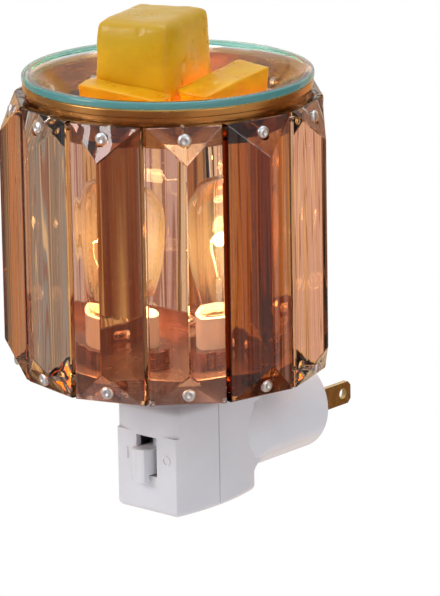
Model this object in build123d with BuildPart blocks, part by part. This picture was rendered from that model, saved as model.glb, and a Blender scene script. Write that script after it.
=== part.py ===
from build123d import *
import os
from math import asin, cos, degrees, hypot, radians, sin, sqrt, tan

# Plug-in wax melt warmer: a drum of crystal bars round a lamp, with a glass dish on top.
# Millimetres. +Z is up, +Y points into the wall and -Y is the front.
# The origin is on the plug's axis, in the plane where the arm's end meets the wall.

# Drum of crystal bars
bar_count = 12
drum_radius = 40.3  # drum axis to the plane through a bar's front corners
drum_reach = 50.0  # wall to drum axis
drum_lift = 22.4  # plug axis up to the lower ends of the bars
drum_turn = 16.8  # degrees from the front to the first bar
bar_height = 75.0
bar_gap = 1.35  # between the front corners of two neighbours
bar_edge = 2.5  # thickness at the long sides
bar_ridge = 5.2  # ridge line in front of the front corners
wall_bar_ridge = 1.5  # the same on the bars that face the wall
wall_bar_span = 50.0  # degrees to each side of the wall
bar_facet = 9.2  # height of an end facet
band_gap = 0.05  # between a bar's back and the metal bands

# Pins through the ends of the bars
pin_radius = 0.6
pin_head_radius = 1.8
pin_head_height = 1.5
pin_inset = 3.3  # end of a bar to the pin's axis
pin_sink = 0.6  # depth of the head's seat in the end facet
pin_clearance = 0.08
clip_radius = 1.2
clip_thickness = 0.8
clip_gap = 0.06  # flat clip against the round band
pin_tail = 0.5  # pin end beyond the clip

# Metal bands of the drum
band_wall = 1.0
top_ring_rise = 4.1  # above the bars
top_ring_drop = 5.9  # below the tops of the bars
flange_thickness = 2.2
flange_lip = 1.1  # outside the band
tray_rise = 0.5  # tray's underside above the lower ends of the bars
tray_rim_height = 6.0
metal_edge = 0.4  # rounding of the sheet metal's edges

# Glass dish
dish_wall = 2.1
dish_depth = 14.0
dish_bowl_radius = 18.0
dish_slope = 45.0  # degrees of the wall above the bowl, from level
dish_rim_height = 2.1
dish_rim_width = 2.2  # flat top of the rim
dish_overhang = 0.2  # rim outside the flange
dish_edge = 0.7  # rounding of the rim
dish_clearance = 0.3  # wall to the slanted edge of the flange

# Wax melts: places are from the drum axis, turns and tilts in degrees
wax_taper = 2.0
wax_edge = 1.6
wax_gap = 0.3  # above the bowl
left_wax_length = 25.0
left_wax_width = 9.5
left_wax_height = 9.5
left_wax_x = 2.4
left_wax_y = -21.2
left_wax_turn = 16.0
left_wax_tilt = -6.5
right_wax_length = 25.0
right_wax_width = 12.5
right_wax_height = 11.0
right_wax_x = 18.1
right_wax_y = 3.5
right_wax_turn = 86.0
right_wax_tilt = 10.0
large_wax_length = 29.5
large_wax_width = 22.5
large_wax_height = 28.5
large_wax_taper = 1.0
large_wax_x = -3.1
large_wax_y = -2.0
large_wax_turn = 106.0

# Lamp holder and shade nut
sleeve_radius = 8.6
sleeve_height = 13.0  # above the tray
socket_radius = 6.6
socket_wall = 0.35  # metal screw shell
socket_fit = 0.05
socket_depth = 18.5  # mouth of the sleeve to the socket's floor
socket_floor = 2.0
neck_radius = 8.8
seat_radius = 13.5
seat_thickness = 2.4
seat_flare = 5.0  # height of the cone under the seat
holder_flange_radius = 9.5
holder_flange_height = 2.6
holder_spigot_radius = 7.2
wire_well_radius = 5.6
holder_clearance = 0.15
nut_radius = 12.0
nut_height = 4.5
nut_notch_radius = 1.2
nut_notches = 8
contact_radius = 3.0
contact_thickness = 0.6
contact_rise = 0.7
contact_stem_radius = 1.0
contact_stem = 2.0  # below the socket's floor
shell_tab_radius = 4.3  # place of the screw shell's tab
shell_tab_width = 1.8
tab_thickness = 0.6
tab_clearance = 0.1

# Bulb
bulb_radius = 11.0
bulb_length = 54.0
bulb_wall = 0.8
bulb_neck_radius = 5.3
bulb_neck_top = 17.0  # above the tip
bulb_neck_depth = 6.0  # inside the cap
cap_radius = 5.95
cap_wall = 0.35
cap_bottom = 3.0  # above the tip
cap_top = 15.5
cap_groove = 0.35
cap_pitch = 2.54
cap_turns = 4
cap_plain = 1.6  # plain stretch at the lower end of the cap
tip_radius = 2.2
tip_height = 0.8
insulator_radius = 5.4
bulb_stand = 0.15  # tip above the centre contact
stem_radius = 1.6
stem_top = 26.0
stem_flare = 1.5
lead_radius = 0.3
lead_spread = 4.5
filament_height = 35.6  # above the tip
filament_rise = 2.6
filament_radius = 0.25

# Base
base_wall = 1.8
base_front_reach = 11.6  # drum axis to the flat front
base_rear_reach = 21.0  # drum axis to the rear face
base_seam_reach = 4.0  # drum axis to the seam behind it
base_half_width = 10.5  # at the front and rear faces
base_bulge = 2.0
base_bottom = -17.0
base_top = 13.5
base_step = 5.3  # the rounded upper corners begin here
base_flat = 4.5  # half of the flat between the rounded upper corners
base_shoulder = 1.3  # how far the upper corners fall back
base_top_fillet = 2.2
base_bottom_fillet = 1.8
base_corner = 0.5  # rounding of the upright corners
seam_width = 0.36
seam_depth = 0.35
shelf_thickness = 1.5
shelf_reach = 9.8  # to the front and rear of the drum axis

# Arm and its blend into the rear shell
arm_radius = 13.2
arm_wall = 2.0
arm_lip = 1.6
arm_edge = 0.6
arm_shoulder = 5.0  # behind the rear face, where the arm starts to widen
arm_flare = 2.6  # growth of the radius at the rear face
arm_root = 7.0  # inside the rear face, where the arm fades into the sides
arm_root_radius = 9.0

# Switch
slot_half_width = 3.6
slot_bottom = -6.5
slot_top = 4.5
lever_half_width = 2.6
lever_swing = 8.5  # degrees to each side
lever_pivot = 6.1  # behind the flat front
lever_gap = 0.6  # paddle in front of the flat front
lever_depth = 2.5
lever_crown = 0.8
lever_bottom = -8.2
lever_top = 1.4
lever_edge = 0.5
stem_margin = 0.4  # lever's stem inside the slot and the paddle's ends
hub_radius = 2.3
hub_gap = 0.2
pivot_radius = 1.0
pivot_fit = 0.06
lug_height = 2.0
lug_half_width = 3.2
lug_reach = 3.0  # behind the pivot
tail_half_width = 1.0
tail_length = 6.5
tail_half_height = 3.0
bridge_thickness = 0.5
bridge_length = 3.0
strip_gap = 0.1
strip_thickness = 0.6
strip_height = 1.8
strip_spacing = 3.6
strip_tail = 2.6  # strip behind the boss
boss_margin = 0.6
mark_spread = 7.0  # raised marks beside the lever
mark_height = -1.3
mark_size = 3.0
mark_stroke = 0.6
mark_relief = 0.25

# Plug
plug_radius = 9.85
plug_fit = 0.15
plug_recess = 0.3  # plug's face behind the arm's end
plug_flange_radius = 11.0
plug_flange = 2.5
plug_hub_radius = 8.4
plug_hub = 3.8
blade_spacing = 12.7
blade_width = 6.3
blade_thickness = 1.5
blade_length = 17.0
blade_tip = 1.2  # slope at the blade's tip
blade_hole_radius = 1.5
blade_hole_inset = 3.4
blade_tail = 1.2
blade_tail_half_width = 1.2
blade_fit = 0.02
plug_turn = 90.0  # degrees
arc_half_width = 1.3
arc_thickness = 0.6
arc_gap = 0.1
arc_margin = 14.0  # degrees beyond the blade at each end
arc_peg = 1.6
carrier_thickness = 2.5
carrier_skirt = 1.6
carrier_gap = 0.2
carrier_fit = 0.08
peg_tail = 1.2

# Screws and wires
screw_radius = 1.1
screw_fit = 0.1
screw_head_radius = 2.1
screw_head_height = 1.6
screw_spread = 7.4
screw_height = -13.6
screw_bite = 8.0  # thread in the front post
screw_sink = 3.0
screw_recess_clearance = 0.15
post_radius = 2.5
wire_radius = 0.8

# Heights and radii that follow
bars_bottom = drum_lift
bars_top = drum_lift + bar_height
half_step = radians(180 / bar_count)
bar_width = (2 * drum_radius * sin(half_step) - bar_gap) / cos(half_step)
bar_back = drum_radius - bar_edge
bar_turns = [drum_turn + number * 360 / bar_count for number in range(bar_count)]
top_pin_height = bars_top - pin_inset
bottom_pin_height = bars_bottom + pin_inset

band_outer = bar_back - band_gap
band_inner = band_outer - band_wall
ring_top = bars_top + top_ring_rise
flange_bottom = ring_top - flange_thickness
flange_outer = band_outer + flange_lip
tray_bottom = bars_bottom + tray_rise
tray_top = tray_bottom + band_wall

rim_top = ring_top + dish_rim_height
rim_radius = flange_outer + dish_overhang
rim_inner = rim_radius - dish_rim_width
dish_floor = rim_top - dish_depth
dish_bottom = dish_floor - dish_wall
bowl_centre = dish_bottom + dish_bowl_radius
bowl_inner_radius = dish_bowl_radius - dish_wall
slope_run = sin(radians(dish_slope))
slope_level = cos(radians(dish_slope))
dish_floor_radius = rim_inner - (bowl_inner_radius + (rim_top - bowl_centre) * slope_level) / slope_run
rim_root = dish_floor_radius + (dish_bowl_radius + (ring_top - bowl_centre) * slope_level) / slope_run
flange_inner = rim_root + dish_clearance / slope_run
flange_slant_bottom = ring_top - (flange_inner - band_inner) * slope_run / slope_level

base_front = drum_reach + base_front_reach
base_rear = drum_reach - base_rear_reach
base_seam = drum_reach - base_seam_reach
base_ceiling = base_top - base_wall
holder_flange_bottom = base_ceiling - holder_flange_height
holder_bottom = holder_flange_bottom - shelf_thickness
sleeve_top = tray_top + sleeve_height
socket_bottom = sleeve_top - socket_depth
well_top = socket_bottom - socket_floor
shell_radius = socket_radius - socket_fit
shell_inner = shell_radius - socket_wall
contact_top = socket_bottom + contact_thickness + contact_rise
wire_terminal = well_top - contact_stem
bulb_tip_height = contact_top + bulb_stand

pivot_y = lever_pivot - base_front
hub_bottom = slot_bottom - hub_gap
hub_top = slot_top
tail_middle = (lever_bottom + lever_top) / 2 + hub_gap
bridge_half_height = (strip_spacing + strip_height) / 2
strip_inner = tail_half_width + bridge_thickness + strip_gap
strip_outer = strip_inner + strip_thickness
bridge_start = tail_length - bridge_length
strip_end = tail_length + strip_tail

arm_bore = arm_radius - arm_wall
plug_lip_radius = plug_radius + plug_fit
plug_shoulder = -arm_lip - carrier_gap / 2
plug_back = plug_shoulder - plug_flange
hub_back = plug_back - plug_hub
tail_back = hub_back - blade_tail
arc_front = tail_back - arc_gap
carrier_front = arc_front - arc_thickness
carrier_back = carrier_front - carrier_thickness
carrier_radius = arm_bore - carrier_fit
peg_back = carrier_back - peg_tail
blade_middle = blade_spacing / 2

drum_axis = Axis((0, -drum_reach, 0), (0, 0, 1))
drum_section = Plane.XZ.offset(drum_reach)
lever_plane = Plane(
    origin=(0, pivot_y, 0),
    x_dir=(cos(radians(lever_swing)), -sin(radians(lever_swing)), 0),
    z_dir=(0, 0, 1),
)

os.makedirs("parts", exist_ok=True)


def keep_piece(part, name):
    """Label a finished piece and write it to its own file."""
    part.label = name
    export_step(part, f"parts/{name}.step")


def radial(turn):
    """Direction out of the drum, turned from the front towards +X."""
    return Vector(sin(radians(turn)), -cos(radians(turn)), 0)


def tangent(turn):
    """Direction along the drum's edge at a turn."""
    return Vector(cos(radians(turn)), sin(radians(turn)), 0)


def bar_plane(turn, height):
    """Level plane on the drum axis whose -y side faces out along a bar."""
    return Plane(origin=(0, -drum_reach, height), x_dir=tangent(turn), z_dir=(0, 0, 1))


def pin_plane(turn, height):
    """Upright plane on the drum axis that faces out along a bar."""
    return Plane(origin=(0, -drum_reach, height), x_dir=tangent(turn), z_dir=radial(turn))


def pin_section(turn, height):
    """Plane whose x axis is a pin's axis."""
    return Plane(origin=(0, -drum_reach, height), x_dir=radial(turn), z_dir=tangent(turn))


def bar_rise(turn):
    """Ridge of a bar in front of its corners: low beside the wall."""
    from_wall = abs(turn % 360 - 180)
    return wall_bar_ridge if from_wall < wall_bar_span else bar_ridge


def pin_seat(turn):
    """Drum axis to the seat of a pin's head."""
    return drum_radius + bar_rise(turn) * pin_inset / bar_facet - pin_sink


def facet_plane(turn, height, way):
    """Plane of a bar's end facet: way is 1 at the top and -1 at the bottom."""
    corner = Vector(0, -drum_reach, height) + radial(turn) * drum_radius
    normal = radial(turn) * bar_facet + Vector(0, 0, way * bar_rise(turn))
    return Plane(origin=corner, x_dir=tangent(turn), z_dir=normal)


# Crystal bars: hipped prisms with a seat for a pin head in each end facet
for number, turn in enumerate(bar_turns, 1):
    with BuildPart() as crystal_bar:
        with BuildSketch(bar_plane(turn, bars_bottom)):
            with BuildLine():
                Polyline(
                    (-bar_width / 2, -bar_back),
                    (bar_width / 2, -bar_back),
                    (bar_width / 2, -drum_radius),
                    (0, -drum_radius - bar_rise(turn)),
                    (-bar_width / 2, -drum_radius),
                    close=True,
                )
            make_face()
        extrude(amount=bar_height)
        split(bisect_by=facet_plane(turn, bars_top, 1), keep=Keep.BOTTOM)
        split(bisect_by=facet_plane(turn, bars_bottom, -1), keep=Keep.BOTTOM)
        for height in (top_pin_height, bottom_pin_height):
            with BuildSketch(pin_plane(turn, height)):
                Circle(pin_radius + pin_clearance)
            extrude(amount=drum_radius + bar_ridge, mode=Mode.SUBTRACT)
            with BuildSketch(pin_plane(turn, height).offset(pin_seat(turn))):
                Circle(pin_head_radius + pin_clearance)
            extrude(amount=bar_rise(turn), mode=Mode.SUBTRACT)
    keep_piece(crystal_bar.part, f"crystal_bar_{number:02d}")

# Pins and their clips, one group of each for the top ring and one for the tray
clip_face = band_inner - clip_gap - clip_thickness
for end, height in (("top", top_pin_height), ("bottom", bottom_pin_height)):
    with BuildPart() as pins:
        for turn in bar_turns:
            seat = pin_seat(turn)
            with BuildSketch(pin_section(turn, height)):
                with BuildLine():
                    Polyline(
                        (seat + pin_head_height, 0),
                        (clip_face - pin_tail, 0),
                        (clip_face - pin_tail, pin_radius),
                        (seat, pin_radius),
                        (seat, pin_head_radius),
                        (seat + pin_sink, pin_head_radius),
                    )
                    EllipticalCenterArc(
                        (seat + pin_sink, 0),
                        pin_head_height - pin_sink,
                        pin_head_radius,
                        start_angle=0,
                        arc_size=90,
                    )
                make_face()
            revolve(axis=Axis((0, -drum_reach, height), radial(turn)))
    keep_piece(pins.part, f"{end}_pins")

    with BuildPart() as clips:
        for turn in bar_turns:
            with BuildSketch(pin_plane(turn, height).offset(clip_face)):
                Circle(clip_radius)
                Circle(pin_radius + pin_clearance, mode=Mode.SUBTRACT)
            extrude(amount=clip_thickness)
    keep_piece(clips.part, f"{end}_pin_clips")

# Top ring: band behind the bars with a flange, slanted inside, that carries the dish
with BuildPart() as top_ring:
    with BuildSketch(drum_section):
        with BuildLine():
            Polyline(
                (flange_inner, ring_top),
                (flange_outer, ring_top),
                (flange_outer, flange_bottom),
                (band_outer, flange_bottom),
                (band_outer, bars_top - top_ring_drop),
                (band_inner, bars_top - top_ring_drop),
                (band_inner, flange_slant_bottom),
                close=True,
            )
        make_face()
    revolve(axis=drum_axis)
    fillet(top_ring.edges().filter_by(GeomType.CIRCLE).sort_by(SortBy.RADIUS)[-2:], metal_edge)
    with BuildSketch(*[pin_plane(turn, top_pin_height) for turn in bar_turns]):
        Circle(pin_radius + pin_clearance)
    extrude(amount=drum_radius, mode=Mode.SUBTRACT)
keep_piece(top_ring.part, "top_ring")

# Shade tray: floor of the drum with an upright rim behind the bars
with BuildPart() as shade_tray:
    with BuildSketch(drum_section):
        with BuildLine():
            Polyline(
                (sleeve_radius + holder_clearance, tray_bottom),
                (band_outer, tray_bottom),
                (band_outer, tray_bottom + tray_rim_height),
                (band_inner, tray_bottom + tray_rim_height),
                (band_inner, tray_top),
                (sleeve_radius + holder_clearance, tray_top),
                close=True,
            )
        make_face()
    revolve(axis=drum_axis)
    fillet(shade_tray.edges().group_by(Axis.Z)[0].sort_by(SortBy.RADIUS)[-1], metal_edge)
    with BuildSketch(*[pin_plane(turn, bottom_pin_height) for turn in bar_turns]):
        Circle(pin_radius + pin_clearance)
    extrude(amount=drum_radius, mode=Mode.SUBTRACT)
keep_piece(shade_tray.part, "shade_tray")

# Shade nut: notched ring that clamps the tray to the lamp holder's seat
with BuildPart() as shade_nut:
    with BuildSketch(Plane.XY.offset(tray_top)):
        with Locations((0, -drum_reach)):
            Circle(nut_radius)
            Circle(sleeve_radius + holder_clearance, mode=Mode.SUBTRACT)
            with PolarLocations(nut_radius, nut_notches):
                Circle(nut_notch_radius, mode=Mode.SUBTRACT)
    extrude(amount=nut_height)
keep_piece(shade_nut.part, "shade_nut")

# Glass dish: shallow round bowl with a flat rim
with BuildPart() as glass_dish:
    with BuildSketch(drum_section):
        with BuildLine():
            Line((0, dish_bottom), (dish_floor_radius, dish_bottom))
            outer_bowl = CenterArc((dish_floor_radius, bowl_centre), dish_bowl_radius, -90, dish_slope)
            inner_bowl = CenterArc((dish_floor_radius, bowl_centre), bowl_inner_radius, -90, dish_slope)
            Polyline(
                outer_bowl @ 1,
                (rim_root, ring_top),
                (rim_radius, ring_top),
                (rim_radius, rim_top),
                (rim_inner, rim_top),
                inner_bowl @ 1,
            )
            Polyline(inner_bowl @ 0, (0, dish_floor), (0, dish_bottom))
        make_face()
    revolve(axis=drum_axis)
    rim_edges = glass_dish.edges().filter_by(GeomType.CIRCLE).sort_by(SortBy.RADIUS)
    fillet((rim_edges[-4], rim_edges[-2], rim_edges[-1]), dish_edge)
keep_piece(glass_dish.part, "glass_dish")


# Wax melts: tapered blocks, the large one standing on the floor of the bowl and
# the lower two wedged between it and the bowl's wall
def bowl_height(radius):
    """Height of the bowl's inner face at a distance from the drum axis."""
    run = max(radius - dish_floor_radius, 0)
    curved_run = min(run, bowl_inner_radius * slope_run)
    slanted_rise = (run - curved_run) * slope_run / slope_level
    return dish_floor + bowl_inner_radius - sqrt(bowl_inner_radius**2 - curved_run**2) + slanted_rise


def wax_plane(x, y, turn, tilt, height):
    """Plane of a block's foot, with its length along x, at a height over its place."""
    level = cos(radians(tilt))
    rise = sin(radians(tilt))
    return Plane(
        origin=(x, y - drum_reach, height),
        x_dir=(level * cos(radians(turn)), level * sin(radians(turn)), rise),
        z_dir=(-rise * cos(radians(turn)), -rise * sin(radians(turn)), level),
    )


def wax_foot(x, y, turn, tilt, length, width):
    """Height at which the lowest corner of a block's foot meets the bowl."""
    level_plane = wax_plane(x, y, turn, tilt, 0)
    heights = []
    for end in (-length / 2, length / 2):
        for side in (-width / 2, width / 2):
            corner = level_plane.from_local_coords(Vector(end, side, 0))
            heights.append(bowl_height(hypot(corner.X, corner.Y + drum_reach)) - corner.Z)
    return max(heights) + wax_gap


def wax_block(x, y, turn, tilt, foot_length, foot_width, top_length, top_width, height):
    """Tapered block with rounded edges, standing in the bowl."""
    foot_height = wax_foot(x, y, turn, tilt, foot_length, foot_width)
    foot = wax_plane(x, y, turn, tilt, foot_height)
    with BuildPart() as block:
        with BuildSketch(foot):
            Rectangle(foot_length, foot_width)
        with BuildSketch(foot.offset(height)):
            Rectangle(top_length, top_width)
        loft()
        fillet(block.edges(), wax_edge)
    return block.part


wax_cube_left = wax_block(
    left_wax_x,
    left_wax_y,
    left_wax_turn,
    left_wax_tilt,
    left_wax_length - 2 * wax_taper,
    left_wax_width - 2 * wax_taper,
    left_wax_length,
    left_wax_width,
    left_wax_height,
)
keep_piece(wax_cube_left, "wax_cube_left")

wax_cube_right = wax_block(
    right_wax_x,
    right_wax_y,
    right_wax_turn,
    right_wax_tilt,
    right_wax_length - 2 * wax_taper,
    right_wax_width - 2 * wax_taper,
    right_wax_length,
    right_wax_width,
    right_wax_height,
)
keep_piece(wax_cube_right, "wax_cube_right")

wax_cube_large = wax_block(
    large_wax_x,
    large_wax_y,
    large_wax_turn,
    0,
    large_wax_length,
    large_wax_width,
    large_wax_length - 2 * large_wax_taper,
    large_wax_width - 2 * large_wax_taper,
    large_wax_height,
)
keep_piece(wax_cube_large, "wax_cube_large")

# Lamp holder: socket sleeve, seat for the tray, neck and the flange held by the base shells
with BuildPart() as lamp_holder:
    with BuildSketch(drum_section):
        with BuildLine():
            Polyline(
                (wire_well_radius, holder_bottom),
                (holder_spigot_radius, holder_bottom),
                (holder_spigot_radius, holder_flange_bottom),
                (holder_flange_radius, holder_flange_bottom),
                (holder_flange_radius, base_ceiling),
                (neck_radius, base_ceiling),
                (neck_radius, tray_bottom - seat_thickness - seat_flare),
                (seat_radius, tray_bottom - seat_thickness),
                (seat_radius, tray_bottom),
                (sleeve_radius, tray_bottom),
                (sleeve_radius, sleeve_top),
                (socket_radius, sleeve_top),
                (socket_radius, socket_bottom),
                (0, socket_bottom),
                (0, well_top),
                (wire_well_radius, well_top),
                close=True,
            )
        make_face()
    revolve(axis=drum_axis)
    with BuildSketch(Plane.XY.offset(well_top)):
        with Locations((0, -drum_reach)):
            Circle(contact_stem_radius + tab_clearance)
        with Locations((-shell_tab_radius, -drum_reach)):
            Rectangle(tab_thickness + 2 * tab_clearance, shell_tab_width + 2 * tab_clearance)
    extrude(amount=socket_floor, mode=Mode.SUBTRACT)
keep_piece(lamp_holder.part, "lamp_holder")

# Screw shell: metal lining of the socket with its tab through the floor
with BuildPart() as screw_shell:
    with BuildSketch(Plane.XY.offset(socket_bottom)):
        with Locations((0, -drum_reach)):
            Circle(shell_radius)
    extrude(amount=socket_depth - base_wall)
    with BuildSketch(Plane.XY.offset(socket_bottom + socket_wall)):
        with Locations((0, -drum_reach)):
            Circle(shell_inner)
    extrude(amount=socket_depth, mode=Mode.SUBTRACT)
    with BuildSketch(Plane.XY.offset(socket_bottom)):
        with Locations((0, -drum_reach)):
            Circle(contact_radius + socket_wall)
    extrude(amount=socket_depth, mode=Mode.SUBTRACT)
    with BuildSketch(Plane.XY.offset(wire_terminal)):
        with Locations((-shell_tab_radius, -drum_reach)):
            Rectangle(tab_thickness, shell_tab_width)
    extrude(amount=socket_bottom - wire_terminal)
keep_piece(screw_shell.part, "screw_shell")

# Centre contact: rivet with a raised dome under the bulb's tip
dome_radius = (tip_radius**2 + contact_rise**2) / (2 * contact_rise)
dome_sweep = degrees(asin(tip_radius / dome_radius))
with BuildPart() as centre_contact:
    with BuildSketch(drum_section):
        with BuildLine():
            Polyline(
                (0, contact_top),
                (0, wire_terminal),
                (contact_stem_radius, wire_terminal),
                (contact_stem_radius, socket_bottom),
                (contact_radius, socket_bottom),
                (contact_radius, socket_bottom + contact_thickness),
                (tip_radius, socket_bottom + contact_thickness),
            )
            CenterArc((0, contact_top - dome_radius), dome_radius, 90 - dome_sweep, dome_sweep)
        make_face()
    revolve(axis=drum_axis)
keep_piece(centre_contact.part, "centre_contact")

# Bulb, drawn from its tip upwards
bulb_section = Plane(origin=(0, -drum_reach, bulb_tip_height), x_dir=(1, 0, 0), z_dir=(0, -1, 0))
bulb_shoulder = bulb_length - bulb_radius
side_run = bulb_shoulder - bulb_neck_top
side_step = bulb_radius - bulb_neck_radius
side_radius = (side_run**2 + side_step**2) / (2 * side_step)


def bulb_outline(inset):
    """Half outline of the bulb's glass, drawn inside its outer face, with the neck's two ends."""
    radius = side_radius - inset
    sweep = degrees(asin(sqrt(1 - ((bulb_neck_radius - bulb_radius + side_radius - inset) / radius) ** 2)))
    CenterArc((0, bulb_shoulder), bulb_radius - inset, 0, 90)
    side = CenterArc((bulb_radius - side_radius, bulb_shoulder), radius, 0, -sweep)
    foot = (bulb_neck_radius - inset, cap_top - bulb_neck_depth)
    Line(side @ 1, foot)
    return foot


with BuildPart() as bulb_glass:
    with BuildSketch(bulb_section):
        with BuildLine():
            outer_foot = bulb_outline(0)
            inner_foot = bulb_outline(bulb_wall)
            Line(outer_foot, inner_foot)
            Line((0, bulb_length), (0, bulb_length - bulb_wall))
        make_face()
    revolve(axis=drum_axis)
keep_piece(bulb_glass.part, "bulb_glass")

# Bulb cap: thin metal shell with rolled thread rings
with BuildPart() as bulb_cap:
    thread_start = cap_bottom + cap_plain
    thread_points = []
    for thread in range(cap_turns):
        thread_points += [
            (cap_radius, thread_start + thread * cap_pitch),
            (cap_radius - cap_groove, thread_start + (thread + 1 / 2) * cap_pitch),
        ]
    with BuildSketch(bulb_section):
        with BuildLine():
            Polyline(
                (cap_radius - cap_groove, cap_bottom),
                *thread_points,
                (cap_radius, thread_start + cap_turns * cap_pitch),
                (cap_radius, cap_top),
                (cap_radius - cap_groove - cap_wall / 2, cap_top),
                (cap_radius - cap_groove - cap_wall / 2, cap_bottom),
                close=True,
            )
        make_face()
    revolve(axis=drum_axis)
keep_piece(bulb_cap.part, "bulb_cap")

# Bulb insulator: black glass cone between the cap and the tip
with BuildPart() as bulb_insulator:
    with BuildSketch(bulb_section):
        with BuildLine():
            Polyline(
                (0, tip_height),
                (tip_radius, tip_height),
                (insulator_radius, cap_bottom),
                (0, cap_bottom),
                close=True,
            )
        make_face()
    revolve(axis=drum_axis)
keep_piece(bulb_insulator.part, "bulb_insulator")

# Bulb tip: soldered contact
with BuildPart() as bulb_tip:
    with BuildSketch(bulb_section):
        with BuildLine():
            Line((0, 0), (0, tip_height))
            Line((0, tip_height), (tip_radius, tip_height))
            EllipticalCenterArc((0, tip_height), tip_radius, tip_height, start_angle=270, arc_size=90)
        make_face()
    revolve(axis=drum_axis)
keep_piece(bulb_tip.part, "bulb_tip")

# Bulb stem: glass mount inside the neck
stem_bottom = cap_top - bulb_neck_depth
stem_flange = bulb_neck_radius - bulb_wall - holder_clearance
with BuildPart() as bulb_stem:
    with BuildSketch(bulb_section):
        with BuildLine():
            Polyline(
                (0, stem_bottom),
                (stem_flange, stem_bottom),
                (stem_flange, stem_bottom + stem_flare),
                (stem_radius, stem_bottom + 3 * stem_flare),
                (stem_radius, stem_top),
                (0, stem_top),
                close=True,
            )
        make_face()
    revolve(axis=drum_axis)
keep_piece(bulb_stem.part, "bulb_stem")

# Bulb leads: two wires from the stem to the ends of the filament
lead_foot = stem_radius + lead_radius + tab_clearance
lead_top = filament_height - filament_radius
with BuildPart() as bulb_leads:
    for side in (-1, 1):
        with BuildLine(bulb_section) as lead_path:
            FilletPolyline(
                (side * lead_foot, stem_bottom + 3 * stem_flare + lead_radius),
                (side * lead_foot, stem_top),
                (side * lead_spread, lead_top - filament_rise),
                (side * lead_spread, lead_top),
                radius=filament_rise,
            )
        with BuildSketch(Plane(origin=lead_path.line @ 0, z_dir=lead_path.line % 0)):
            Circle(lead_radius)
        sweep()
keep_piece(bulb_leads.part, "bulb_leads")

# Bulb filament: zigzag wire across the leads
with BuildPart() as bulb_filament:
    with BuildLine(bulb_section) as filament_path:
        FilletPolyline(
            (-lead_spread - lead_radius, filament_height),
            (-lead_spread + lead_radius, filament_height),
            (-lead_spread / 2, filament_height + filament_rise),
            (0, filament_height),
            (lead_spread / 2, filament_height + filament_rise),
            (lead_spread - lead_radius, filament_height),
            (lead_spread + lead_radius, filament_height),
            radius=2 * filament_radius,
        )
    with BuildSketch(Plane(origin=filament_path.line @ 0, z_dir=filament_path.line % 0)):
        Circle(filament_radius)
    sweep()
keep_piece(bulb_filament.part, "bulb_filament")

# Plan of the base: a flat front and rear joined by gently bulged sides
front_y = -base_front
rear_y = -base_rear
seam_y = -base_seam
middle_y = (front_y + rear_y) / 2
half_depth = (rear_y - front_y) / 2
barrel_radius = (half_depth**2 + base_bulge**2) / (2 * base_bulge)


def side_half(y):
    """Half of the base's width at a distance along the arm."""
    return base_half_width + base_bulge - barrel_radius + sqrt(barrel_radius**2 - (y - middle_y) ** 2)


def lower_plan():
    """Outline of the base below its rounded upper corners."""
    Line((-base_half_width, front_y), (base_half_width, front_y))
    Line((-base_half_width, rear_y), (base_half_width, rear_y))
    for side in (-1, 1):
        ThreePointArc(
            (side * base_half_width, front_y),
            (side * side_half(middle_y), middle_y),
            (side * base_half_width, rear_y),
        )


def upper_plan():
    """Outline of the base where its front corners are rounded."""
    shoulder_y = front_y + base_shoulder
    Line((-base_flat, front_y), (base_flat, front_y))
    Line((-base_half_width, rear_y), (base_half_width, rear_y))
    for side in (-1, 1):
        TangentArc(
            (side * base_flat, front_y),
            (side * side_half(shoulder_y), shoulder_y),
            tangent=(side, 0),
        )
        ThreePointArc(
            (side * side_half(shoulder_y), shoulder_y),
            (side * side_half(middle_y), middle_y),
            (side * base_half_width, rear_y),
        )


def base_block(inset):
    """The base's shape, filled, at a distance inside its outer faces."""
    with BuildPart() as block:
        with BuildSketch(Plane.XY.offset(base_bottom + inset)):
            with BuildLine():
                lower_plan()
            make_face()
            if inset:
                offset(amount=-inset, kind=Kind.INTERSECTION)
        extrude(amount=base_step - base_bottom - inset)
        if not inset:
            fillet(block.edges().filter_by(Axis.Z), base_corner)
        with BuildSketch(Plane.XY.offset(base_step)):
            with BuildLine():
                upper_plan()
            make_face()
            if inset:
                offset(amount=-inset, kind=Kind.INTERSECTION)
        extrude(amount=base_top - base_step - inset)
        if not inset:
            fillet(block.edges().group_by(Axis.Z)[-1], base_top_fillet)
            fillet(block.edges().group_by(Axis.Z)[0], base_bottom_fillet)
    return block.part


base_outside = base_block(0)
base_inside = base_block(base_wall)
base_core = base_block(seam_depth)

with BuildPart() as seam_groove:
    with Locations((0, seam_y, (base_bottom + base_top) / 2)):
        Box(4 * base_half_width, seam_width, 2 * (base_top - base_bottom))
    add(base_core, mode=Mode.SUBTRACT)

# Shelf inside the base that carries the lamp holder's flange
with BuildPart() as holder_shelf:
    with BuildSketch(Plane.XY.offset(holder_bottom)):
        with Locations((0, -drum_reach)):
            Rectangle(4 * base_half_width, 2 * shelf_reach)
            Circle(holder_spigot_radius + holder_clearance, mode=Mode.SUBTRACT)
    extrude(amount=shelf_thickness)
    add(base_outside, mode=Mode.INTERSECT)

seam_plane = Plane.XZ.offset(base_seam)
screw_places = [(-screw_spread, screw_height), (screw_spread, screw_height)]
screw_end = base_seam + screw_bite

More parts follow.
